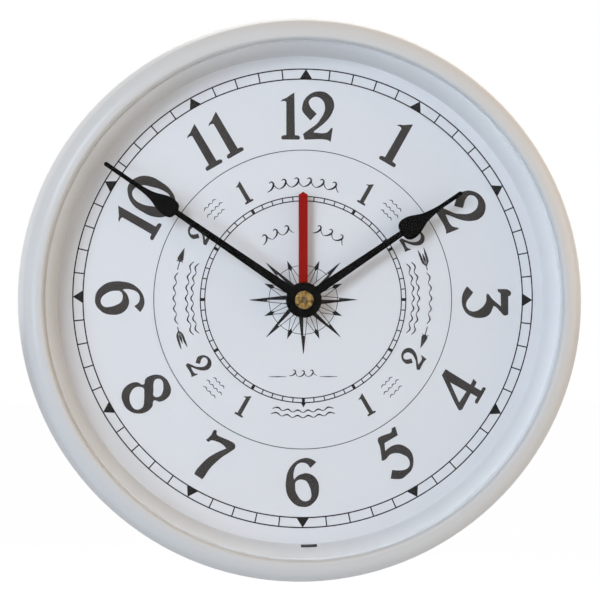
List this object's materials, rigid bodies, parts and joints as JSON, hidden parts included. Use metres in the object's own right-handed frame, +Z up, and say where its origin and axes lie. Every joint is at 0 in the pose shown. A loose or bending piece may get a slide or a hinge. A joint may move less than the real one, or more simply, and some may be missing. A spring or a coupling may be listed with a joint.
{
  "type": "tide clock",
  "caption": "Round wall clock in a white case, with hour and minute hands, a tide hand and a geared battery movement behind the dial.",
  "frame": {"origin": "on the hands' axis, in the plane of the wall that the back plate lies against", "axes": "+Z up to 12 o'clock, -Y out of the dial towards the viewer, +X to the viewer's right"},
  "size_m": [0.19, 0.04, 0.19],
  "materials": {
    "case_white": "moulded white, soft gloss",
    "back_white": "moulded white, fine matte grain",
    "lens_clear": "clear polished acrylic",
    "dial_print": "white matte paper printed in dark brown ink",
    "dial_board": "plain stiff sheet",
    "hand_black": "satin black lacquer on thin sheet",
    "hand_red": "satin red lacquer on thin sheet",
    "brass_turned": "turned brass",
    "movement_black": "moulded black, fine spark grain",
    "gear_plastic": "moulded natural acetal",
    "magnet_grey": "moulded magnet",
    "soft_iron": "stamped soft iron",
    "copper_wire": "enamelled copper wire",
    "bobbin_plastic": "moulded green bobbin",
    "board_green": "solder mask",
    "steel_bright": "bright nickel plated steel",
    "rubber_black": "soft rubber",
    "cell_jacket": "plain printed film over a steel can",
    "knob_grey": "moulded grey"
  },
  "bodies": {
    "clock_body": {"case_shell": "case_white", "inner_ring": "case_white", "lens": "lens_clear", "dial_paper": "dial_print", "dial_plate": "dial_board", "back_plate": "back_white", "back_plate_screws": "steel_bright", "movement_housing": "movement_black", "movement_rear_cover": "movement_black", "middle_plate": "gear_plastic", "threaded_bushing": "brass_turned", "rubber_washer": "rubber_black", "dial_washer": "brass_turned", "hex_nut": "brass_turned", "circuit_board": "board_green", "quartz_crystal": "steel_bright", "clock_chip": "movement_black", "time_stator": "soft_iron", "time_coil_bobbin": "bobbin_plastic", "time_coil_winding": "copper_wire", "time_coil_core": "soft_iron", "tide_stator": "soft_iron", "tide_coil_bobbin": "bobbin_plastic", "tide_coil_winding": "copper_wire", "tide_coil_core": "soft_iron", "battery": "cell_jacket", "positive_contact": "steel_bright", "negative_contact": "steel_bright"},
    "minute_staff": {"minute_arbor": "steel_bright", "centre_wheel": "gear_plastic", "minute_hand": "hand_black", "hand_nut": "brass_turned"},
    "hour_staff": {"hour_wheel": "gear_plastic", "hour_hand": "hand_black", "hour_hand_collet": "brass_turned"},
    "motion_body": {"motion_wheel": "gear_plastic"},
    "time_second_body": {"time_second_wheel": "gear_plastic"},
    "time_first_body": {"time_first_wheel": "gear_plastic"},
    "time_rotor_body": {"time_rotor_magnet": "magnet_grey", "time_rotor_pinion": "gear_plastic"},
    "time_knob_body": {"time_setting_knob": "knob_grey"},
    "tide_staff": {"tide_wheel": "gear_plastic", "tide_hand": "hand_red", "tide_hand_collet": "brass_turned"},
    "tide_second_body": {"tide_second_wheel": "gear_plastic"},
    "tide_first_body": {"tide_first_wheel": "gear_plastic"},
    "tide_rotor_body": {"tide_rotor_magnet": "magnet_grey", "tide_rotor_pinion": "gear_plastic"},
    "tide_knob_body": {"tide_setting_knob": "knob_grey"}
  },
  "joints": [
    {"name": "minute_turn", "type": "hinge", "parent": "clock_body", "child": "minute_staff", "pos_m": [0, -0.02, 0], "axis": [0, 1, 0], "continuous": true},
    {"name": "hour_turn", "type": "hinge", "parent": "clock_body", "child": "hour_staff", "pos_m": [0, -0.02, 0], "axis": [0, 1, 0], "continuous": true},
    {"name": "motion_turn", "type": "hinge", "parent": "clock_body", "child": "motion_body", "pos_m": [0.00636, -0.02, -0.00636], "axis": [0, 1, 0], "continuous": true},
    {"name": "time_second_turn", "type": "hinge", "parent": "clock_body", "child": "time_second_body", "pos_m": [-0.0097, -0.02, 0.0056], "axis": [0, 1, 0], "continuous": true},
    {"name": "time_first_turn", "type": "hinge", "parent": "clock_body", "child": "time_first_body", "pos_m": [-0.01891, -0.02, 0.00225], "axis": [0, 1, 0], "continuous": true},
    {"name": "time_rotor_turn", "type": "hinge", "parent": "clock_body", "child": "time_rotor_body", "pos_m": [-0.02718, -0.02, 0.00371], "axis": [0, 1, 0], "continuous": true},
    {"name": "time_knob_turn", "type": "hinge", "parent": "clock_body", "child": "time_knob_body", "pos_m": [0.01578, -0.02, -0.00719], "axis": [0, 1, 0], "continuous": true},
    {"name": "tide_turn", "type": "hinge", "parent": "clock_body", "child": "tide_staff", "pos_m": [0, -0.02, 0], "axis": [0, 1, 0], "continuous": true},
    {"name": "tide_second_turn", "type": "hinge", "parent": "clock_body", "child": "tide_second_body", "pos_m": [0.0097, -0.02, 0.0056], "axis": [0, 1, 0], "continuous": true},
    {"name": "tide_first_turn", "type": "hinge", "parent": "clock_body", "child": "tide_first_body", "pos_m": [0.01891, -0.02, 0.00225], "axis": [0, 1, 0], "continuous": true},
    {"name": "tide_rotor_turn", "type": "hinge", "parent": "clock_body", "child": "tide_rotor_body", "pos_m": [0.02718, -0.02, 0.00371], "axis": [0, 1, 0], "continuous": true},
    {"name": "tide_knob_turn", "type": "hinge", "parent": "clock_body", "child": "tide_knob_body", "pos_m": [-0.01039, -0.02, -0.006], "axis": [0, 1, 0], "continuous": true}
  ],
  "couplings": [
    {"joint": "hour_turn", "follows": "minute_turn", "ratio": 0.083333},
    {"joint": "motion_turn", "follows": "minute_turn", "ratio": -0.33333},
    {"joint": "time_second_turn", "follows": "minute_turn", "ratio": -6},
    {"joint": "time_first_turn", "follows": "minute_turn", "ratio": 30},
    {"joint": "time_rotor_turn", "follows": "minute_turn", "ratio": -180},
    {"joint": "time_knob_turn", "follows": "minute_turn", "ratio": 0.83333},
    {"joint": "tide_second_turn", "follows": "tide_turn", "ratio": -6},
    {"joint": "tide_first_turn", "follows": "tide_turn", "ratio": 36},
    {"joint": "tide_rotor_turn", "follows": "tide_turn", "ratio": -216},
    {"joint": "tide_knob_turn", "follows": "tide_turn", "ratio": -4}
  ]
}
